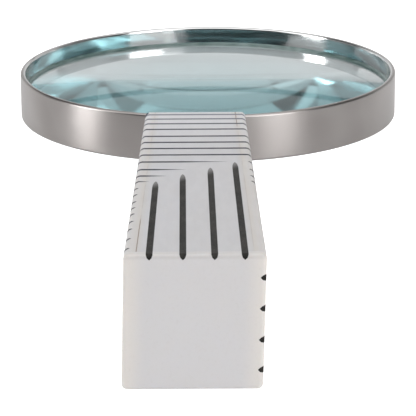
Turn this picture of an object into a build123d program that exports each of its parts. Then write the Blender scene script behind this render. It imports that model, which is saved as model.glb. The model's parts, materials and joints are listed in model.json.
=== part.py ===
from build123d import *
import os
from math import sqrt

# Hand magnifier: a biconvex lens in a steel band, on a square bone-faced handle with black inlays.
# Origin at the centre of the lens, +Z along its optical axis, and the handle runs towards -Y.
# Millimetres. "top" is +Z, "left" is -X, and the butt is the far end of the handle.

os.makedirs("parts", exist_ok=True)

# Band and lens
band_radius = 52.0  # outside of the steel band
band_wall = 1.5
band_height = 12.5
band_edge_round = 0.7
lens_radius = 50.2
lens_edge = 2.0  # thickness of the ground edge
lens_curve = 265.0  # radius of both polished faces
seat_wall = 1.2
seat_lip = 0.7  # the seat ring stops this far above the band's lower edge
seat_chamfer = 0.5
gasket_width = 1.1
gasket_depth = 0.45
bead_height = 0.8
bead_width = 0.9

# Tang that joins the band to the handle
tang_x = -3.4
saddle_width = 16.0
saddle_height = 8.0
saddle_thickness = 1.5
stud_radius = 3.0
stud_root_radius = 2.5
stud_length = 48.0
stud_pitch = 2.0
stud_end_gap = 0.1  # left free between the stud and the bottom of its hole
stud_tip_chamfer = 0.8
insert_radius = 4.5
insert_length = 22.0
insert_start = 14.0  # from the outside of the band
insert_groove = 0.4
insert_groove_width = 1.2
insert_groove_count = 3

# Handle: a square taper, wide at the butt
# The handle is fitted a little to the left of the lens's centre line and not quite in line with it
front_x = -3.5
butt_x = -3.25
handle_lean = 0.028  # the sides lean to the right by this much for each millimetre up
handle_length = 141.0  # from the outside of the band to the butt
lap_over_band = 1.6  # the front end laps over the band's edges by this much
front_width = 25.8
front_height = 14.0
butt_width = 29.4
butt_height = 29.6
long_edge_round = 1.2
butt_edge_round = 1.0
front_edge_round = 0.3
slab_thickness = 2.6
cap_thickness = 2.3

# Inlaid lines
inlay_width = 1.4
inlay_depth = 1.25
long_inlay_points = 6.0  # length of the pointed end of a line
cross_inlay_points = 11.0
cutter_clear = 2.0  # how far a cutter stands out of the surface it cuts
# The wall of a line from the surface down: (share of its half width, share of its depth)
groove_wall = [(1.0, 0.15), (0.7, 0.62)]
# A blunt point: (share of the way along it, share of the line's full size there)
blunt_point = [(0.45, 0.86), (0.8, 0.52)]
even_point = []

# Distance of each cross line from the outside of the band. They were set out by eye,
# so the pitch wanders.
cross_stations = [1.7, 7.1, 12.9, 19.6, 27.8, 34.8, 41.7, 48.8, 56.3, 64.3, 70.8, 76.4]
cross_stations += [83, 89, 95.6, 101.1, 106.7, 113.2, 119.8, 127.9, 135.9]
full_on_top = 8  # the first lines run right across the top
full_on_right = 12  # and these right across the right face

# Where the shorter top lines end, measured from the handle's centre line
top_partial_ends = [8.0, -2.0, -6.5, -10.5]
# Long top lines: (offset at the butt, offset at the point, distance of the point from the band)
top_long_lines = [(-9.4, -9.0, 76.2), (-2.5, -2.9, 69.1), (4.0, 3.5, 62.5), (10.2, 9.3, 56.9)]
# Long lines on the right face: (height at the butt, height at the point, distance of the point)
right_long_lines = [(9.7, 8.6, 82.0), (3.0, 2.7, 88.0), (-3.8, -3.4, 95.0), (-10.4, -9.2, 101.0)]
# Height where the shorter lines of the right face end, coming up from the lower edge
right_partial_ends = [5.0, 0.5, -4.0, -8.5]

# Derived places
front_y = -(band_radius - lap_over_band)
butt_y = -(band_radius + handle_length)
cap_y = butt_y + cap_thickness
taper_length = front_y - butt_y
half_width_slope = (butt_width - front_width) / 2 / taper_length
half_height_slope = (butt_height - front_height) / 2 / taper_length
centre_slope = (butt_x - front_x) / taper_length
band_inner = band_radius - band_wall


def centre_x(y):
    return front_x + (front_y - y) * centre_slope


def half_width(y):
    return front_width / 2 + (front_y - y) * half_width_slope


def half_height(y):
    return front_height / 2 + (front_y - y) * half_height_slope


def lens_face(radius):
    """Height of the upper polished face at this radius."""
    drop = sqrt(lens_curve**2 - radius**2) - sqrt(lens_curve**2 - lens_radius**2)
    return lens_edge / 2 + drop


def between(inset, start_y, end_y):
    """All that lies between the two sides moved in by inset. The sides lean, so this leans with them."""
    plan = []
    for y, side in ((start_y, -1), (start_y, 1), (end_y, 1), (end_y, -1)):
        x = centre_x(y) + side * (half_width(y) - inset)
        plan.append((x - handle_lean * butt_height, y))
    with BuildPart() as block:
        with BuildSketch(Plane.XY.offset(-butt_height)):
            with BuildLine():
                Polyline(*plan, close=True)
            make_face()
        lean = Vector(handle_lean, 0, 1)
        extrude(amount=2 * butt_height * lean.length, dir=lean.normalized())
    return block.part


def taper(inset, start_y, end_y):
    """The handle's square taper between two stations, with every side moved in by inset."""
    heights = [half_height(y) - inset for y in (start_y, end_y)]
    with BuildPart() as block:
        add(between(inset, start_y, end_y))
        with BuildSketch(Plane.YZ):
            with BuildLine():
                Polyline(
                    (start_y, heights[0]),
                    (start_y, -heights[0]),
                    (end_y, -heights[1]),
                    (end_y, heights[1]),
                    close=True,
                )
            make_face()
        extrude(amount=butt_width, both=True, mode=Mode.INTERSECT)
    return block.part


def groove_section(origin, normal, along, share):
    """Cross-section of a line, pointed at the bottom, at this share of its full size."""
    half = share * inlay_width / 2
    deep = share * inlay_depth
    right_wall = [(half * wide, -deep * low) for wide, low in groove_wall]
    left_wall = [(-x, y) for x, y in reversed(right_wall)]
    rim = [(-half, cutter_clear), (half, cutter_clear)]
    with BuildSketch(Plane(origin=origin, x_dir=normal.cross(along), z_dir=along)) as section:
        with BuildLine():
            Polyline(*rim, *right_wall, (0, -deep), *left_wall, close=True)
        make_face()
    return section.sketch


def line_cutter(start, end, normal, point_length, point_shape):
    """A line in the surface from start to end, with a pointed end if asked."""
    along = (end - start).normalized()
    straight = (end - start).length - point_length
    with BuildPart() as cutter:
        extrude(groove_section(start, normal, along, 1), amount=straight)
        if point_length:
            last = groove_section(start + along * straight, normal, along, 1)
            for way, share in point_shape:
                place = start + along * (straight + way * point_length)
                following = groove_section(place, normal, along, share)
                loft(sections=[last.face(), following.face()], ruled=True)
                last = following
            loft(sections=[last.face(), Vertex(*end)])
    return cutter.part


# ---------------------------------------------------------------- head

with BuildPart() as rim_band:
    with BuildSketch(Plane.XZ):
        with Locations((band_radius - band_wall / 2, 0)):
            RectangleRounded(band_wall, band_height, band_edge_round)
    revolve(axis=Axis.Z)
rim_band.part.label = "rim_band"

with BuildPart() as lens:
    with BuildSketch(Plane.XZ):
        with BuildLine():
            Line((0, -lens_face(0)), (0, lens_face(0)))
            middle = lens_radius / 2
            ThreePointArc((0, lens_face(0)), (middle, lens_face(middle)), (lens_radius, lens_edge / 2))
            Line((lens_radius, lens_edge / 2), (lens_radius, -lens_edge / 2))
            ThreePointArc((lens_radius, -lens_edge / 2), (middle, -lens_face(middle)), (0, -lens_face(0)))
        make_face()
    revolve(axis=Axis.Z)
lens.part.label = "lens"

# A soft ring between the glass and the seat, its upper face pressed to the curve of the lens
gasket_floor = -lens_edge / 2 - gasket_depth
with BuildPart() as lens_gasket:
    with BuildSketch(Plane.XZ):
        with Locations((band_inner, gasket_floor)):
            Rectangle(gasket_width, gasket_depth, align=(Align.MAX, Align.MIN))
    revolve(axis=Axis.Z)
    add(lens.part, mode=Mode.SUBTRACT)
lens_gasket.part.label = "lens_gasket"

with BuildPart() as seat_ring:
    with BuildSketch(Plane.XZ) as seat_section:
        with Locations((band_inner, gasket_floor)):
            seat_height = band_height / 2 - seat_lip + gasket_floor
            Rectangle(seat_wall, seat_height, align=(Align.MAX, Align.MAX))
        inner_low = seat_section.vertices().group_by(Axis.Y)[0].sort_by(Axis.X)[0]
        chamfer(inner_low, seat_chamfer)
    revolve(axis=Axis.Z)
seat_ring.part.label = "seat_ring"

# Clear adhesive in the gap round the glass and in the corner above its edge
with BuildPart() as lens_bead:
    with BuildSketch(Plane.XZ):
        with BuildLine():
            bead_top = lens_edge / 2 + bead_height
            Polyline(
                (lens_radius, 0),
                (band_inner, 0),
                (band_inner, bead_top),
                (band_inner - bead_width, lens_edge / 2),
                close=True,
            )
        make_face()
    revolve(axis=Axis.Z)
    add(lens.part, mode=Mode.SUBTRACT)
lens_bead.part.label = "lens_bead"

# ---------------------------------------------------------------- tang

stud_plane = Plane(origin=(tang_x, -band_radius, 0), x_dir=(1, 0, 0), z_dir=(0, -1, 0))

# A curved plate against the band, which also shapes the pocket for it in the core
with BuildPart() as saddle_plate:
    with BuildSketch(Plane.XY.offset(-saddle_height / 2)):
        Circle(band_radius + saddle_thickness)
        Circle(band_radius, mode=Mode.SUBTRACT)
        with Locations((tang_x, -band_radius)):
            Rectangle(saddle_width, 4 * saddle_thickness, mode=Mode.INTERSECT)
    extrude(amount=saddle_height)

with BuildPart() as tang_saddle:
    add(saddle_plate.part)
    with BuildSketch(stud_plane):
        Circle(stud_radius)
    extrude(amount=2 * saddle_thickness, both=True, mode=Mode.SUBTRACT)
tang_saddle.part.label = "tang_saddle"

with BuildPart() as tang_stud:
    with BuildSketch(stud_plane.offset(stud_length / 2)):
        Circle(stud_radius)
    extrude(amount=stud_length / 2 - stud_end_gap, both=True)
    tip = tang_stud.edges().group_by(Axis.Y)[0]
    chamfer(tip, stud_tip_chamfer)
    thread_turns = int((stud_length - 4 * saddle_thickness) / stud_pitch)
    for turn in range(thread_turns):
        groove_at = 2 * saddle_thickness + turn * stud_pitch
        with BuildSketch(stud_plane.offset(groove_at)):
            Circle(stud_radius + cutter_clear)
            Circle(stud_root_radius, mode=Mode.SUBTRACT)
        extrude(amount=stud_pitch / 2, mode=Mode.SUBTRACT)
tang_stud.part.label = "tang_stud"

with BuildPart() as tang_insert:
    with BuildSketch(stud_plane.offset(insert_start)):
        Circle(insert_radius)
        Circle(stud_radius, mode=Mode.SUBTRACT)
    extrude(amount=insert_length)
    groove_pitch = insert_length / (insert_groove_count + 1)
    for groove in range(insert_groove_count):
        with BuildSketch(stud_plane.offset(insert_start + (groove + 1) * groove_pitch)):
            Circle(insert_radius + cutter_clear)
            Circle(insert_radius - insert_groove, mode=Mode.SUBTRACT)
        extrude(amount=insert_groove_width, mode=Mode.SUBTRACT)
tang_insert.part.label = "tang_insert"

# ---------------------------------------------------------------- handle

# Outer form of the whole handle before it is divided into slabs
with BuildPart() as blank:
    add(taper(0, front_y, butt_y))
    sides = blank.edges().filter_by(lambda edge: edge.length > taper_length / 2)
    fillet(sides, long_edge_round)
    fillet(blank.faces().sort_by(Axis.Y)[0].edges(), butt_edge_round)
    fillet(blank.faces().sort_by(Axis.Y)[-1].edges(), front_edge_round)

# Space that the band takes up in the front end of the handle
with BuildPart() as band_space:
    Cylinder(band_radius, band_height)

inner_start = front_y + lap_over_band
inner_taper = taper(slab_thickness, inner_start, cap_y)

with BuildPart() as handle_core:
    add(inner_taper)
    add(band_space.part, mode=Mode.SUBTRACT)
    add(saddle_plate.part, mode=Mode.SUBTRACT)
    with BuildSketch(stud_plane):
        Circle(stud_radius)
    extrude(amount=stud_length, mode=Mode.SUBTRACT)
    with BuildSketch(stud_plane.offset(insert_start)):
        Circle(insert_radius)
    extrude(amount=insert_length, mode=Mode.SUBTRACT)
handle_core.part.label = "handle_core"


# The seams between the side slabs and the top and bottom slabs follow the taper
between_sides = between(slab_thickness, inner_start, cap_y)

# ---------------------------------------------------------------- lines cut into the slabs

up = Vector(0, half_height_slope, 1).normalized()
down = Vector(0, half_height_slope, -1).normalized()
leftwards = Vector(-1, half_width_slope - centre_slope, handle_lean).normalized()
rightwards = Vector(1, half_width_slope + centre_slope, -handle_lean).normalized()


def on_face(side_share, height_share, offset, height, station):
    """A point on the handle's skin, from its centre line at this distance from the band."""
    y = -(band_radius + station)
    z = height_share * half_height(y) + height
    x = centre_x(y) + side_share * half_width(y) + offset + handle_lean * z
    return Vector(x, y, z)


def on_top(offset, station):
    return on_face(0, 1, offset, 0, station)


def on_underside(offset, station):
    return on_face(0, -1, offset, 0, station)


def on_right(height, station):
    return on_face(1, 0, 0, height, station)


def on_left(height, station):
    return on_face(-1, 0, 0, height, station)


reach = butt_width / 2 + cutter_clear
beyond_butt = handle_length + cutter_clear

# Cross lines run clear across a face, or stop short of its far edge in a long point
def cross_lines(place, normal, full_count, short_ends):
    cutters = []
    for station in cross_stations[:full_count]:
        cutters.append(line_cutter(place(-reach, station), place(reach, station), normal, 0, even_point))
    for station, short_end in zip(cross_stations[full_count:], short_ends):
        points = min(cross_inlay_points, (short_end + reach) / 2)
        start, end = place(-reach, station), place(short_end, station)
        cutters.append(line_cutter(start, end, normal, points, even_point))
    return cutters


# Long lines run out over the butt, and each has its point towards the lens
def long_lines(place, normal, lines):
    cutters = []
    for butt_offset, point_offset, point_station in lines:
        start = place(butt_offset, beyond_butt)
        end = place(point_offset, point_station)
        cutters.append(line_cutter(start, end, normal, long_inlay_points, blunt_point))
    return cutters


all_stations = len(cross_stations)
top_long = long_lines(on_top, up, top_long_lines)
top_cross = cross_lines(on_top, up, full_on_top, top_partial_ends)
bottom_cross = cross_lines(on_underside, down, all_stations, [])
left_cross = cross_lines(on_left, leftwards, all_stations, [])
right_cross = cross_lines(on_right, rightwards, full_on_right, right_partial_ends)
right_long = long_lines(on_right, rightwards, right_long_lines)
all_cutters = top_long + top_cross + bottom_cross + left_cross + right_cross + right_long

# ---------------------------------------------------------------- bone slabs and cap

with BuildPart() as front_half:
    with BuildSketch(Plane.XZ.offset(-cap_y)):
        Rectangle(4 * butt_width, 4 * butt_height)
    extrude(amount=-2 * handle_length)


def facing(side):
    """The top slab, or with side -1 the bottom slab: between the side slabs, off the core."""
    with BuildPart() as slab:
        add(blank.part)
        add(between_sides, mode=Mode.INTERSECT)
        with BuildSketch(Plane.XY):
            Rectangle(8 * butt_width, 4 * handle_length)
        extrude(amount=side * butt_height, mode=Mode.INTERSECT)
        add(inner_taper, mode=Mode.SUBTRACT)
        add(band_space.part, mode=Mode.SUBTRACT)
        add(all_cutters, mode=Mode.SUBTRACT)
    return slab.part


def cheek(side):
    """The right slab, or with side -1 the left slab: full height, outside the seam."""
    with BuildPart() as slab:
        add(blank.part)
        add(front_half.part, mode=Mode.INTERSECT)
        with BuildSketch(Plane.YZ.offset(butt_x)):
            Rectangle(4 * handle_length, 4 * butt_height)
        extrude(amount=side * butt_width, mode=Mode.INTERSECT)
        add(between_sides, mode=Mode.SUBTRACT)
        add(band_space.part, mode=Mode.SUBTRACT)
        add(all_cutters, mode=Mode.SUBTRACT)
    return slab.part


slabs = {"top_slab": facing(1), "bottom_slab": facing(-1), "left_slab": cheek(-1), "right_slab": cheek(1)}
for name, slab in slabs.items():
    slab.label = name

with BuildPart() as end_cap:
    add(blank.part)
    add(front_half.part, mode=Mode.SUBTRACT)
    add(all_cutters, mode=Mode.SUBTRACT)
end_cap.part.label = "end_cap"

# ---------------------------------------------------------------- black inlays, flush with the bone


def inlays(cutters, taken):
    """What fills these lines, leaving out what other lines already fill."""
    with BuildPart() as filling:
        add(cutters)
        add(blank.part, mode=Mode.INTERSECT)
        if taken:
            add(taken, mode=Mode.SUBTRACT)
    return filling.part


above_and_below = top_long + top_cross + bottom_cross
fillings = {
    "top_long_inlays": inlays(top_long, []),
    "top_cross_inlays": inlays(top_cross, []),
    "bottom_cross_inlays": inlays(bottom_cross, []),
    "left_cross_inlays": inlays(left_cross, above_and_below),
    "right_cross_inlays": inlays(right_cross, above_and_below),
    "right_long_inlays": inlays(right_long, above_and_below),
}
for name, filling in fillings.items():
    filling.label = name

# ---------------------------------------------------------------- files

for piece in (rim_band, seat_ring, lens_gasket, lens, lens_bead, tang_saddle, tang_stud):
    export_step(piece.part, f"parts/{piece.part.label}.step")
for piece in (tang_insert, handle_core, end_cap):
    export_step(piece.part, f"parts/{piece.part.label}.step")
for name, solid in {**slabs, **fillings}.items():
    export_step(solid, f"parts/{name}.step")
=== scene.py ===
import json
import math

import bmesh
import bpy
from mathutils import Matrix, Vector


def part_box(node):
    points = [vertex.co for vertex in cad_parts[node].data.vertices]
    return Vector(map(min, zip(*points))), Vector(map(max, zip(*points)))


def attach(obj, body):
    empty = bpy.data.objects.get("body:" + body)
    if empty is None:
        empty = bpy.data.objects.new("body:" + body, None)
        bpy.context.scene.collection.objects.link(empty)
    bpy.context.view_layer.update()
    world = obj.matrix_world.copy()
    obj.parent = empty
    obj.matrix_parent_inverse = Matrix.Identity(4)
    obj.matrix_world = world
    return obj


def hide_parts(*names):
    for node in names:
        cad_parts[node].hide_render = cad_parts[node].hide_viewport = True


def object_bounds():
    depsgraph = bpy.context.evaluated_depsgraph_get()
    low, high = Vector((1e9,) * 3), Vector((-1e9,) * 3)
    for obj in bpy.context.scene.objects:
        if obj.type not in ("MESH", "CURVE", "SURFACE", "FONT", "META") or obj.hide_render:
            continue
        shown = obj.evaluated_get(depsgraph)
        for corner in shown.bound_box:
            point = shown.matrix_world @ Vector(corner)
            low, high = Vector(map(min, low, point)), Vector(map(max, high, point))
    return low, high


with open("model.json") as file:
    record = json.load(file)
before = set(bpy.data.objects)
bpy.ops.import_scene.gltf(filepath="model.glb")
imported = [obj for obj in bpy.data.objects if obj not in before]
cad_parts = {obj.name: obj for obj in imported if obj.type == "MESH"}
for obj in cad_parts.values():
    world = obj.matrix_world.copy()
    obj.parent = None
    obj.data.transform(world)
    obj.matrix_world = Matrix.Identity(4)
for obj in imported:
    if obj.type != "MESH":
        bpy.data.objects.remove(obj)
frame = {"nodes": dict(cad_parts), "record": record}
cad_lo, cad_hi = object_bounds()
nodes = frame["nodes"]
mounts = {mount["name"]: mount for mount in frame["record"]["mounts"]}

MM = 0.001

# Sizes in millimetres, as the CAD has them
BAND_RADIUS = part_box("rim_band")[1].x / MM
BAND_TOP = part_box("rim_band")[1].z / MM
BAND_WALL = 1.5
BAND_EDGE_ROUND = 0.7
BAND_INNER = BAND_RADIUS - BAND_WALL
LENS_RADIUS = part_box("lens")[1].x / MM
LENS_EDGE = 2.0
LENS_CURVE = 265.0
SEAT_WALL = 1.2
SEAT_CHAMFER = 0.5
GASKET_WIDTH = 1.1
BEAD_WIDTH = 0.9
BEAD_FOOT = 0.1
BEAD_TOE = 0.12
BEAD_HOLLOW = (0.35, 0.3)  # in from the band, and up from the rim of the glass
BUTT_X = mounts["butt_face"]["pos_m"][0] / MM
FRONT_X = -3.5
HANDLE_LEAN = 0.028
BUTT_Y = cad_lo.y / MM
CAP_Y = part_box("end_cap")[1].y / MM
FRONT_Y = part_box("top_slab")[1].y / MM
FRONT_WIDTH = 25.8
BUTT_WIDTH = 29.4
SLAB = 2.6
# The tips of the long lines lie along a slant: y of a tip on the centre line, and its change across the face
TOP_TIPS = (-115.5, 1.05)
SIDE_TIPS = (-143.2, 1.07)
# The dark spot at the left corner by the ring, longer along the handle than across it
DARK_SPOT = (FRONT_X - FRONT_WIDTH / 2 + 0.3, FRONT_Y - 0.8, 6.55)
DARK_SPOT_SQUEEZE = 0.45
DARK_SPOT_CORE = 0.8
DARK_SPOT_RIM = 1.05

# ---------------------------------------------------------------- node helpers


class Look:
    """A material under construction. Its patterns are laid out in millimetres in the part's own frame."""

    def __init__(self, name):
        self.material = bpy.data.materials.new(name)
        self.material.use_nodes = True
        self.tree = self.material.node_tree
        self.tree.nodes.clear()
        self.output = self.add("ShaderNodeOutputMaterial")
        coordinates = self.add("ShaderNodeTexCoord").outputs["Object"]
        scaled = self.add("ShaderNodeVectorMath", {"operation": "SCALE"}, Vector=coordinates, Scale=1 / MM)
        self.mm = scaled.outputs[0]
        self.x, self.y, self.z = self.add("ShaderNodeSeparateXYZ", Vector=self.mm).outputs

    def add(self, kind, settings=None, **inputs):
        node = self.tree.nodes.new(kind)
        for name, value in (settings or {}).items():
            setattr(node, name, value)
        for name, value in inputs.items():
            self.feed(node.inputs[name.replace("_", " ")], value)
        return node

    def feed(self, socket, value):
        if isinstance(value, bpy.types.NodeSocket):
            self.tree.links.new(value, socket)
        else:
            socket.default_value = value

    def feed_all(self, sockets, values):
        for socket, value in zip(sockets, values):
            self.feed(socket, value)

    def math(self, operation, *values):
        node = self.add("ShaderNodeMath", {"operation": operation})
        self.feed_all(node.inputs, values)
        return node.outputs[0]

    def vector(self, x, y, z):
        return self.add("ShaderNodeCombineXYZ", X=x, Y=y, Z=z).outputs[0]

    def stretched(self, x, y, z, where=None):
        """Pattern coordinates with so many pattern units to the millimetre along each axis."""
        node = self.add("ShaderNodeVectorMath", {"operation": "MULTIPLY"})
        self.feed_all(node.inputs, (self.mm if where is None else where, (x, y, z)))
        return node.outputs[0]

    def distance(self, start, end):
        node = self.add("ShaderNodeVectorMath", {"operation": "DISTANCE"})
        self.feed_all(node.inputs, (start, end))
        return node.outputs["Value"]

    def noise(self, where, detail=3.0, roughness=0.5, distortion=0.0):
        node = self.add("ShaderNodeTexNoise", Vector=where, Scale=1.0, Detail=detail,
                        Roughness=roughness, Distortion=distortion)
        return node.outputs[0]

    def between(self, value, low, high, to_low=0.0, to_high=1.0):
        """Carries low..high over to to_low..to_high, smoothly and clamped."""
        node = self.add("ShaderNodeMapRange", {"interpolation_type": "SMOOTHSTEP"}, Value=value,
                        From_Min=low, From_Max=high, To_Min=to_low, To_Max=to_high)
        return node.outputs[0]

    def colour(self, factor, first, second):
        node = self.add("ShaderNodeMix", {"data_type": "RGBA", "blend_type": "MIX"})
        self.feed_all((node.inputs[0], node.inputs[6], node.inputs[7]), (factor, first, second))
        return node.outputs[2]

    def blend(self, factor, first, second):
        node = self.add("ShaderNodeMix", {"data_type": "FLOAT"})
        self.feed_all((node.inputs[0], node.inputs[2], node.inputs[3]), (factor, first, second))
        return node.outputs[0]

    def bump(self, height, strength, distance_mm):
        node = self.add("ShaderNodeBump", Height=height, Strength=strength, Distance=distance_mm * MM)
        return node.outputs[0]

    def finish(self, **inputs):
        shader = self.add("ShaderNodeBsdfPrincipled", **inputs)
        self.tree.links.new(shader.outputs[0], self.output.inputs["Surface"])
        return self.material


def rgb(red, green, blue):
    return (red, green, blue, 1.0)


# ---------------------------------------------------------------- materials

# Painted light: the bone turns to this paler colour towards the ring, where the handle is lit more brightly
LIT_BONE_NEAR_RING = rgb(0.74, 0.735, 0.76)
# Painted shade laid along the cap's rounded upper edge
EDGE_SHADE_BONE = rgb(0.50, 0.48, 0.46)
GRAIN_BROWN = rgb(0.43, 0.38, 0.31)
PORE_BROWN = rgb(0.2, 0.16, 0.12)
SEAM_HALO = rgb(0.60, 0.545, 0.47)
GLUE_BROWN = rgb(0.22, 0.13, 0.08)
# Colour of the dark spot at the left corner by the ring
DARK_SPOT_COLOUR = rgb(0.03, 0.035, 0.055)
# Where the glue line on the left fades out, from the butt, and the one on the right, from the front
LEFT_LINE_FADES = (27, 32)
RIGHT_LINE_FADES = (15, 19)


def glue_lines(look, from_front, across, aside):
    """Strength of the brown glue lines between the slabs and round the cap, and of the stain beside them."""
    taper = (BUTT_WIDTH - FRONT_WIDTH) / 2 / (FRONT_Y - BUTT_Y)
    seam_at = look.math("MULTIPLY_ADD", from_front, taper, FRONT_WIDTH / 2 - SLAB)
    wander = look.noise(look.stretched(0.0, 0.35, 0.0), detail=2)
    seam_at = look.math("ADD", seam_at, look.math("MULTIPLY_ADD", wander, 0.16, -0.08))
    off_seam = look.math("ABSOLUTE", look.math("SUBTRACT", aside, seam_at))
    ahead = look.between(look.y, CAP_Y - 0.02, CAP_Y + 0.02)
    # open near the butt on the left and near the lens on the right, and patchy elsewhere
    on_left = look.math("LESS_THAN", across, 0.0)
    near_butt = look.between(look.y, BUTT_Y + LEFT_LINE_FADES[0], BUTT_Y + LEFT_LINE_FADES[1], 1.0, 0.0)
    near_lens = look.between(look.y, FRONT_Y - RIGHT_LINE_FADES[1], FRONT_Y - RIGHT_LINE_FADES[0])
    open_left = look.math("MULTIPLY", on_left, near_butt)
    open_right = look.math("MULTIPLY", look.math("SUBTRACT", 1.0, on_left), near_lens)
    patchy = look.between(look.noise(look.stretched(0.05, 0.12, 0.05), detail=3), 0.4, 0.62, 0.03, 0.2)
    wide_open = look.math("MULTIPLY", look.math("MAXIMUM", open_left, open_right), 0.9)
    width = look.math("MULTIPLY", look.between(off_seam, 0.06, 0.15, 1.0, 0.0), ahead)
    line = look.math("MULTIPLY", width, look.math("MAXIMUM", patchy, wide_open))
    off_cap = look.math("ABSOLUTE", look.math("SUBTRACT", look.y, CAP_Y))
    line = look.math("MAXIMUM", line, look.between(off_cap, 0.04, 0.1, 0.22, 0.0))
    halo = look.math("MULTIPLY", look.between(off_seam, 0.2, 1.3, 0.3, 0.0), ahead)
    return line, halo


def bone(name, tint, warm, rim):
    """Polished bone: faint long grain and pores, a cream mottle, brown glue lines and one dark spot, with
    painted light towards the ring and painted shade along the cap's upper edge.
    """
    look = Look(name)
    mottle = look.noise(look.stretched(0.05, 0.02, 0.05), detail=4)
    grain = look.noise(look.stretched(1.3, 0.03, 1.3), detail=3, roughness=0.6)
    pores = look.noise(look.stretched(3.6, 0.3, 3.6), detail=2)
    base = look.colour(look.between(mottle, 0.3, 0.72), tint, warm)
    # painted light: paler over the last 50 mm towards the ring
    base = look.colour(look.between(look.y, FRONT_Y - 50, FRONT_Y, 0.0, 0.7), base, LIT_BONE_NEAR_RING)
    from_front = look.math("SUBTRACT", FRONT_Y, look.y)
    centre = look.math("MULTIPLY_ADD", from_front, (BUTT_X - FRONT_X) / (FRONT_Y - BUTT_Y), FRONT_X)
    centre = look.math("MULTIPLY_ADD", look.z, HANDLE_LEAN, centre)
    across = look.math("SUBTRACT", look.x, centre)
    aside = look.math("ABSOLUTE", across)
    # the cap warms towards its left and right edges, and its rounded upper edge is darkened with painted
    # shade
    at_butt = look.between(look.y, CAP_Y - 0.6, CAP_Y + 0.2, 1.0, 0.0)
    base = look.colour(look.math("MULTIPLY", look.between(aside, 9.5, 14.2), at_butt), base, rim)
    shaded_upper_edge = look.math("MULTIPLY", look.between(look.z, 13.4, 14.4), at_butt)
    base = look.colour(look.math("MULTIPLY", shaded_upper_edge, 0.45), base, EDGE_SHADE_BONE)
    base = look.colour(look.between(grain, 0.5, 0.8, 0.0, 0.07), base, GRAIN_BROWN)
    pore = look.between(pores, 0.68, 0.8)
    base = look.colour(look.math("MULTIPLY", pore, 0.07), base, PORE_BROWN)
    line, halo = glue_lines(look, from_front, across, aside)
    base = look.colour(halo, base, SEAM_HALO)
    base = look.colour(line, base, GLUE_BROWN)
    # the dark spot at the left corner by the ring, made fully rough
    dark_spot_centre = (DARK_SPOT[0], DARK_SPOT[1] * DARK_SPOT_SQUEEZE, DARK_SPOT[2])
    from_dark_spot = look.distance(look.stretched(1.0, DARK_SPOT_SQUEEZE, 1.0), dark_spot_centre)
    off_dark_spot = look.between(from_dark_spot, DARK_SPOT_CORE, DARK_SPOT_RIM)
    base = look.colour(off_dark_spot, DARK_SPOT_COLOUR, base)
    rough = look.between(look.noise(look.stretched(0.5, 0.12, 0.5), detail=3), 0.3, 0.7, 0.28, 0.4)
    rough = look.math("MAXIMUM", rough, look.math("SUBTRACT", 1.0, off_dark_spot))
    height = look.math("SUBTRACT", look.math("MULTIPLY", grain, 0.4), look.math("ADD", pore, line))
    return look.finish(
        Base_Color=base, Roughness=rough, IOR=1.54, Subsurface_Weight=0.12,
        Subsurface_Radius=(1.0, 0.75, 0.55), Subsurface_Scale=0.0012,
        Normal=look.bump(height, 0.15, 0.02),
    )


def black_filler(name, tips, side):
    """Hard black filler, rubbed flush, with a little bone dust in it. It thins out over the blunt tips."""
    look = Look(name)
    cloud = look.noise(look.stretched(0.4, 0.15, 0.4), detail=4)
    specks = look.noise(look.stretched(4.0, 4.0, 4.0), detail=2)
    base = look.colour(look.between(cloud, 0.3, 0.7), rgb(0.016, 0.015, 0.014), rgb(0.034, 0.031, 0.028))
    base = look.colour(look.between(specks, 0.64, 0.76, 0.0, 0.35), base, rgb(0.12, 0.11, 0.10))
    tip_on_centre, slant = tips
    tip_y = look.math("MULTIPLY_ADD", getattr(look, side), slant, tip_on_centre)
    short_of_tip = look.math("SUBTRACT", tip_y, look.y)
    base = look.colour(look.between(short_of_tip, 0.0, 7.5, 0.85, 0.0), base, rgb(0.30, 0.29, 0.29))
    return look.finish(Base_Color=base, Roughness=look.between(specks, 0.3, 0.7, 0.5, 0.65),
                       Specular_IOR_Level=0.16, Normal=look.bump(specks, 0.4, 0.05))


def thin_filler(name):
    """The filler of the lines across the handle: bluer, and paler towards the ring."""
    look = Look(name)
    cloud = look.noise(look.stretched(0.3, 0.3, 0.3), detail=3)
    specks = look.noise(look.stretched(4.0, 4.0, 4.0), detail=2)
    base = look.colour(look.between(cloud, 0.3, 0.7), rgb(0.035, 0.036, 0.046), rgb(0.065, 0.066, 0.080))
    base = look.colour(look.between(look.y, FRONT_Y - 26, FRONT_Y, 0.0, 0.9), base, rgb(0.235, 0.235, 0.275))
    return look.finish(Base_Color=base, Roughness=look.between(specks, 0.3, 0.7, 0.5, 0.65),
                       Specular_IOR_Level=0.2, Normal=look.bump(specks, 0.3, 0.04))


def axis_distance(look):
    squares = [look.math("MULTIPLY", side, side) for side in (look.x, look.y)]
    return look.math("SQRT", look.math("ADD", *squares))


def round_the_band(look):
    """Coordinates that follow the band, in mm: round it, out from the lens's axis, and along that axis."""
    along = look.math("MULTIPLY", look.math("ARCTAN2", look.x, look.y), BAND_RADIUS)
    return look.vector(along, axis_distance(look), look.z)


BAND_SATIN = 0.28


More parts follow.
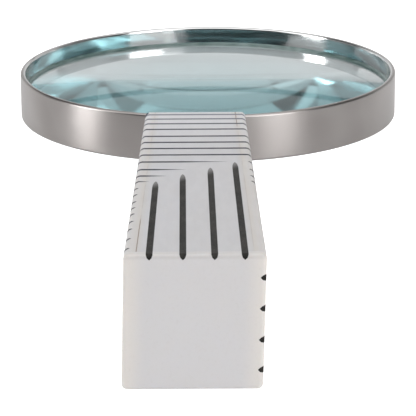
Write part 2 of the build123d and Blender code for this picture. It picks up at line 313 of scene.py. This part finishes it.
def band_steel():
    """Satin steel: fine lines round the band, soft mottled patches, and a brighter polish inside."""
    look = Look("band_steel_look")
    outside = look.between(axis_distance(look), BAND_INNER + 0.25, BAND_RADIUS - 0.4)
    lines = look.noise(look.stretched(0.1, 3.0, 1.6, round_the_band(look)), detail=2, roughness=0.5)
    patches = look.noise(look.stretched(0.035, 0.035, 0.06), detail=1)
    mottle = look.noise(look.stretched(0.09, 0.09, 0.09), detail=0)
    worn = look.colour(look.between(patches, 0.32, 0.66), rgb(0.36, 0.336, 0.327), rgb(0.40, 0.376, 0.366))
    worn = look.colour(look.between(mottle, 0.4, 0.75, 0.0, 0.5), worn, rgb(0.32, 0.296, 0.286))
    polished = look.colour(look.between(patches, 0.3, 0.7), rgb(0.70, 0.71, 0.71), rgb(0.77, 0.77, 0.77))
    base = look.colour(outside, polished, worn)
    rough = look.blend(outside, look.between(lines, 0.3, 0.7, 0.09, 0.16), BAND_SATIN)
    return look.finish(Base_Color=base, Metallic=1.0, Roughness=rough,
                       Normal=look.bump(lines, 0.05, 0.012))


def plain_metal(name, dark, light, low, high):
    """Machined metal that shows turning lines."""
    look = Look(name)
    lines = look.noise(look.stretched(0.2, 5.0, 7.0, round_the_band(look)), detail=3)
    cloud = look.noise(look.stretched(0.15, 0.15, 0.15), detail=4)
    base = look.colour(look.between(cloud, 0.3, 0.7), dark, light)
    return look.finish(Base_Color=base, Metallic=1.0, Roughness=look.between(lines, 0.3, 0.7, low, high),
                       Normal=look.bump(lines, 0.15, 0.01))


def tint(look):
    """Light is coloured blue-green by the length of its way through the glass."""
    volume = look.add("ShaderNodeVolumeAbsorption", Color=rgb(0.12, 0.60, 0.65), Density=14.0)
    look.tree.links.new(volume.outputs[0], look.output.inputs["Volume"])
    return look.material


def glass(name):
    """Polished crown glass with the faintest film of handling on it."""
    look = Look(name)
    smear = look.noise(look.stretched(0.05, 0.05, 0.05), detail=3)
    cast = look.colour(smear, rgb(0.975, 0.99, 1.0), rgb(0.955, 0.98, 0.99))
    look.finish(Base_Color=cast, Roughness=look.between(smear, 0.3, 0.75, 0.045, 0.06), IOR=1.52,
                Transmission_Weight=1.0)
    return tint(look)


def ground_edge(name):
    """The lens's finely ground edge, which scatters light back into the glass."""
    look = Look(name)
    grit = look.noise(look.stretched(0.8, 3.0, 3.0, round_the_band(look)), detail=4)
    base = look.colour(look.between(grit, 0.3, 0.7), rgb(0.42, 0.47, 0.46), rgb(0.62, 0.66, 0.65))
    look.finish(Base_Color=base, Roughness=0.75, Normal=look.bump(grit, 0.3, 0.04))
    return tint(look)


def soft_clear(name, dark, light, roughness):
    """Vinyl or cured adhesive: pale, glossy and slightly cloudy."""
    look = Look(name)
    cloud = look.noise(look.stretched(0.3, 1.0, 1.0, round_the_band(look)), detail=4)
    return look.finish(Base_Color=look.colour(look.between(cloud, 0.3, 0.7), dark, light),
                       Roughness=look.between(cloud, 0.3, 0.7, roughness, roughness + 0.15),
                       Normal=look.bump(cloud, 0.3, 0.05))


def wood():
    """Oiled hardwood with its grain along the handle."""
    look = Look("core_wood_look")
    rings = look.noise(look.stretched(0.5, 0.02, 0.5), detail=4, distortion=0.6)
    fibres = look.noise(look.stretched(3.0, 0.08, 3.0), detail=3)
    base = look.colour(look.between(rings, 0.35, 0.65), rgb(0.16, 0.075, 0.035), rgb(0.33, 0.18, 0.09))
    base = look.colour(look.between(fibres, 0.5, 0.75, 0.0, 0.5), base, rgb(0.09, 0.045, 0.025))
    return look.finish(Base_Color=base, Roughness=look.between(fibres, 0.3, 0.7, 0.45, 0.65),
                       Normal=look.bump(fibres, 0.4, 0.05))


# One bone in three brightnesses, painted light and shade for how light falls on each face: the top and bottom
# slabs darkest, the sides paler, the end cap palest
top_bone_painted_shade = bone("bone_top_painted_shade_look", rgb(0.60, 0.597, 0.62), rgb(0.585, 0.577, 0.59), rgb(0.64, 0.625, 0.62))
side_bone_painted_light = bone("bone_side_painted_light_look", rgb(0.65, 0.629, 0.622), rgb(0.62, 0.597, 0.583),
                 rgb(0.65, 0.629, 0.622))
cap_bone_painted_light = bone("bone_cap_painted_light_look", rgb(0.75, 0.738, 0.752), rgb(0.745, 0.728, 0.733), rgb(0.84, 0.80, 0.765))
finishes = {
    "top_slab": top_bone_painted_shade, "bottom_slab": top_bone_painted_shade, "left_slab": side_bone_painted_light, "right_slab": side_bone_painted_light,
    "end_cap": cap_bone_painted_light, "handle_core": wood(),
    "tang_saddle": plain_metal("tang_steel_look", rgb(0.33, 0.33, 0.34), rgb(0.48, 0.48, 0.49), 0.3, 0.45),
    "tang_insert": plain_metal("insert_brass_look", rgb(0.60, 0.42, 0.17), rgb(0.75, 0.56, 0.27), 0.22, 0.38),
}
finishes["tang_stud"] = finishes["tang_saddle"]
finishes["top_long_inlays"] = black_filler("black_top_lines_look", TOP_TIPS, "x")
finishes["right_long_inlays"] = black_filler("black_side_lines_look", SIDE_TIPS, "z")
filler = thin_filler("black_inlay_look")
for name, node in nodes.items():
    look = finishes.get(name, filler if name.endswith("_inlays") else None)
    if look:
        node.data.materials.clear()
        node.data.materials.append(look)

# ---------------------------------------------------------------- turned pieces

TURNED_STEPS = 288
BAND_STEPS = 360
SHARP_ANGLE = math.radians(35)
ON_AXIS = 1e-6


def turned(name, profile, looks, replaced, steps=TURNED_STEPS, look_of=None):
    """A body of revolution about the lens's axis, from a closed profile of (radius, height) in mm."""
    mesh = bmesh.new()
    rings = []
    for radius, height in profile:
        if radius < ON_AXIS:
            rings.append([mesh.verts.new((0, 0, height * MM))])
            continue
        ring = []
        for step in range(steps):
            turn = 2 * math.pi * step / steps
            corner = (radius * MM * math.cos(turn), radius * MM * math.sin(turn), height * MM)
            ring.append(mesh.verts.new(corner))
        rings.append(ring)
    for index, ring in enumerate(rings):
        following = rings[(index + 1) % len(rings)]
        if len(ring) == 1 and len(following) == 1:
            continue
        for step in range(steps):
            corners = [ring[step % len(ring)], ring[(step + 1) % len(ring)]]
            corners += [following[(step + 1) % len(following)], following[step % len(following)]]
            face = mesh.faces.new(list(dict.fromkeys(corners)))
            face.smooth = True
            face.material_index = look_of(index) if look_of else 0
    bmesh.ops.recalc_face_normals(mesh, faces=mesh.faces)
    data = bpy.data.meshes.new(name)
    mesh.to_mesh(data)
    mesh.free()
    data.set_sharp_from_angle(angle=SHARP_ANGLE)
    piece = bpy.data.objects.new(name, data)
    bpy.context.scene.collection.objects.link(piece)
    for look in looks:
        data.materials.append(look)
    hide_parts(replaced)
    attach(piece, "root")


def quarter_arc(centre, radius, start, count=8):
    """Points on a quarter of a circle, from an angle in degrees."""
    points = []
    for index in range(count + 1):
        angle = math.radians(start + 90 * index / count)
        points.append((centre[0] + radius * math.cos(angle), centre[1] + radius * math.sin(angle)))
    return points


def band_profile():
    points = []
    corners = [(BAND_RADIUS, BAND_TOP, -1, -1, 0), (BAND_INNER, BAND_TOP, 1, -1, 90),
               (BAND_INNER, -BAND_TOP, 1, 1, 180), (BAND_RADIUS, -BAND_TOP, -1, 1, 270)]
    for x, z, inward_x, inward_z, start in corners:
        centre = (x + inward_x * BAND_EDGE_ROUND, z + inward_z * BAND_EDGE_ROUND)
        points += quarter_arc(centre, BAND_EDGE_ROUND, start)
    return points


def lens_height(radius):
    drop = math.sqrt(LENS_CURVE**2 - radius**2) - math.sqrt(LENS_CURVE**2 - LENS_RADIUS**2)
    return LENS_EDGE / 2 + drop


LENS_RINGS = 48
radii = [LENS_RADIUS * ring / LENS_RINGS for ring in range(LENS_RINGS + 1)]
lens_profile = [(radius, lens_height(radius)) for radius in radii]
lens_profile += [(radius, -lens_height(radius)) for radius in reversed(radii)]

turned("lens_glass", lens_profile, [glass("lens_glass_look"), ground_edge("lens_edge_look")],
       "lens", look_of=lambda index: 1 if index == LENS_RINGS else 0)
turned("band", band_profile(), [band_steel()], "rim_band", steps=BAND_STEPS)

GAP = 0.02
in_band = BAND_INNER - GAP
lens_rim = LENS_EDGE / 2
seat_lo, seat_hi = (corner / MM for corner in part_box("seat_ring"))
seat_inner = BAND_INNER - SEAT_WALL
seat_profile = [(in_band, seat_hi.z), (seat_inner, seat_hi.z), (seat_inner, seat_lo.z + SEAT_CHAMFER),
                (seat_inner + SEAT_CHAMFER, seat_lo.z), (in_band, seat_lo.z)]
seat_steel = plain_metal("seat_steel_look", rgb(0.62, 0.62, 0.62), rgb(0.74, 0.74, 0.74), 0.2, 0.32)
turned("seat", seat_profile, [seat_steel], "seat_ring")
gasket_inner = BAND_INNER - GASKET_WIDTH
gasket_profile = [(in_band, seat_hi.z + GAP), (in_band, -lens_rim - GAP), (LENS_RADIUS, -lens_rim - GAP),
                  (gasket_inner, -lens_height(gasket_inner) - GAP), (gasket_inner, seat_hi.z + GAP)]
vinyl = soft_clear("gasket_look", rgb(0.30, 0.36, 0.36), rgb(0.45, 0.50, 0.50), 0.35)
turned("cushion_ring", gasket_profile, [vinyl], "lens_gasket")
bead_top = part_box("lens_bead")[1].z / MM
# the bead fills the corner above the edge of the glass, and is hollow on its free side
bead_profile = [(LENS_RADIUS + GAP, BEAD_FOOT), (in_band, BEAD_FOOT), (in_band, bead_top),
                (BAND_INNER - BEAD_HOLLOW[0], lens_rim + BEAD_HOLLOW[1]),
                (BAND_INNER - BEAD_WIDTH, lens_rim + BEAD_TOE), (LENS_RADIUS + GAP, lens_rim + GAP)]
adhesive = soft_clear("bead_look", rgb(0.10, 0.16, 0.15), rgb(0.2, 0.27, 0.26), 0.12)
turned("adhesive_bead", bead_profile, [adhesive], "lens_bead")

# ---------------------------------------------------------------- floor, light and camera

scene = bpy.context.scene
scene.view_settings.view_transform = "Standard"
# Light is reflected many times inside the lens before it comes out again
ALL_BOUNCES = 40
LENS_BOUNCES = 32
scene.cycles.max_bounces = ALL_BOUNCES
scene.cycles.glossy_bounces = LENS_BOUNCES
scene.cycles.transmission_bounces = LENS_BOUNCES

FLOOR_REACH = 3.0
FLOOR_GAP = 0.00005
FLOOR_GLOW = 0.34
FLOOR_GLOW_IN_VIEW = 0.8  # added where the camera looks straight at the floor, so that it stays white

# The magnifier lies on the butt's lower edge and the band's far lower edge, so the floor slopes a little
floor_near = Vector((0, cad_lo.y, cad_lo.z))
floor_far = Vector((0, cad_hi.y, -BAND_TOP * MM))
floor_tilt = math.atan2(floor_far.z - floor_near.z, floor_far.y - floor_near.y)
floor_mesh = bpy.data.meshes.new("floor")
floor_corners = [(x * FLOOR_REACH, y * FLOOR_REACH, 0) for x, y in ((-1, -1), (1, -1), (1, 1), (-1, 1))]
floor_mesh.from_pydata(floor_corners, [], [(0, 1, 2, 3)])
floor = bpy.data.objects.new("floor", floor_mesh)
scene.collection.objects.link(floor)
floor.matrix_world = (Matrix.Translation(floor_near - Vector((0, 0, FLOOR_GAP)))
                      @ Matrix.Rotation(floor_tilt, 4, "X"))
paper = Look("floor_look")
fibre = paper.noise(paper.stretched(0.02, 0.02, 0.02), detail=3)
pale = paper.colour(fibre, rgb(0.56, 0.56, 0.56), rgb(0.58, 0.58, 0.58))
seen_straight = paper.add("ShaderNodeLightPath").outputs["Is Camera Ray"]
paper.finish(Base_Color=pale, Roughness=0.22, IOR=1.5, Emission_Color=rgb(1, 1, 1),
             Emission_Strength=paper.math("MULTIPLY_ADD", seen_straight, FLOOR_GLOW_IN_VIEW, FLOOR_GLOW))
# From below the floor is clear, so that the underside can be looked at
solid = paper.output.inputs["Surface"].links[0].from_socket
from_below = paper.add("ShaderNodeNewGeometry").outputs["Backfacing"]
clear = paper.add("ShaderNodeBsdfTransparent").outputs[0]
cover = paper.add("ShaderNodeMixShader")
paper.feed_all(cover.inputs, (from_below, solid, clear))
paper.tree.links.new(cover.outputs[0], paper.output.inputs["Surface"])
floor_mesh.materials.append(paper.material)

ROOM_LIGHT = 0.05
STUDIO_RADIUS = 1.2

world = bpy.data.worlds.new("studio")
scene.world = world
world.use_nodes = True
sky = world.node_tree
background = sky.nodes["Background"]
background.inputs["Color"].default_value = rgb(1.0, 1.0, 1.0)
# The room round the softboxes is nearly dark, and the camera sees plain white beyond the floor
seen_by_camera = sky.nodes.new("ShaderNodeLightPath").outputs["Is Camera Ray"]
brightness = sky.nodes.new("ShaderNodeMath")
brightness.operation = "ADD"
brightness.inputs[1].default_value = ROOM_LIGHT
sky.links.new(seen_by_camera, brightness.inputs[0])
sky.links.new(brightness.outputs[0], background.inputs["Strength"])


def softbox(name, azimuth, elevation, across, tall, radiance):
    """A soft light aimed at the lens. Angles in degrees; azimuth 0 is beyond the lens, 90 to its right."""
    light = bpy.data.lights.new(name, "AREA")
    light.shape = "RECTANGLE"
    light.size = 2 * STUDIO_RADIUS * math.tan(math.radians(across / 2))
    light.size_y = 2 * STUDIO_RADIUS * math.tan(math.radians(tall / 2))
    light.energy = radiance * math.pi * light.size * light.size_y
    lamp = bpy.data.objects.new(name, light)
    scene.collection.objects.link(lamp)
    turn, rise = math.radians(azimuth), math.radians(elevation)
    away = Vector((math.sin(turn) * math.cos(rise), math.cos(turn) * math.cos(rise), math.sin(rise)))
    lamp.location = away * STUDIO_RADIUS
    lamp.rotation_mode = "QUATERNION"
    lamp.rotation_quaternion = (-away).to_track_quat("-Z", "Y")
    lamp.visible_camera = False


softbox("left_low", -104, 11, 15, 20, 8.5)
softbox("left_high", -106, 37, 28, 30, 1.9)
softbox("left_beyond", -80, 14, 22, 24, 0.25)
softbox("front_right_low", 138, 11, 22, 18, 4.6)
softbox("front_right_high", 140, 33, 30, 22, 3.0)
softbox("front_right_inner", 157, 22, 14, 34, 0.95)
softbox("far_low", 0, 12, 50, 20, 0.62)
softbox("far_high", 0, 34, 50, 20, 0.6)
softbox("far_left", -45, 12, 36, 20, 0.9)
softbox("far_right", 45, 12, 36, 20, 0.62)
softbox("far_right_high", 45, 34, 36, 22, 0.25)
softbox("right", 92, 12, 40, 18, 0.2)
softbox("overhead", 0, 90, 68, 68, 1.15)
softbox("above_camera", 180, 64, 60, 40, 0.45)

# The view looks down the handle from behind the butt
CAMERA_ELEVATION = math.radians(17.011)
CAMERA_ROLL = math.radians(0.332)
CAMERA_DISTANCE = 0.5893
CAMERA_AIM = Vector((-0.000175, -0.11245, 0))
CAMERA_SENSOR = 36.0
CAMERA_LENS = 216.35
camera_data = bpy.data.cameras.new("camera")
camera_data.sensor_width = CAMERA_SENSOR
camera_data.lens = CAMERA_LENS
camera_data.clip_start = 0.01
camera = bpy.data.objects.new("camera", camera_data)
scene.collection.objects.link(camera)
back = Vector((0, -math.cos(CAMERA_ELEVATION), math.sin(CAMERA_ELEVATION)))
camera.matrix_world = (Matrix.Translation(CAMERA_AIM + back * CAMERA_DISTANCE)
                       @ Matrix.Rotation(CAMERA_ROLL, 4, -back)
                       @ (-back).to_track_quat("-Z", "Y").to_matrix().to_4x4())
scene.camera = camera
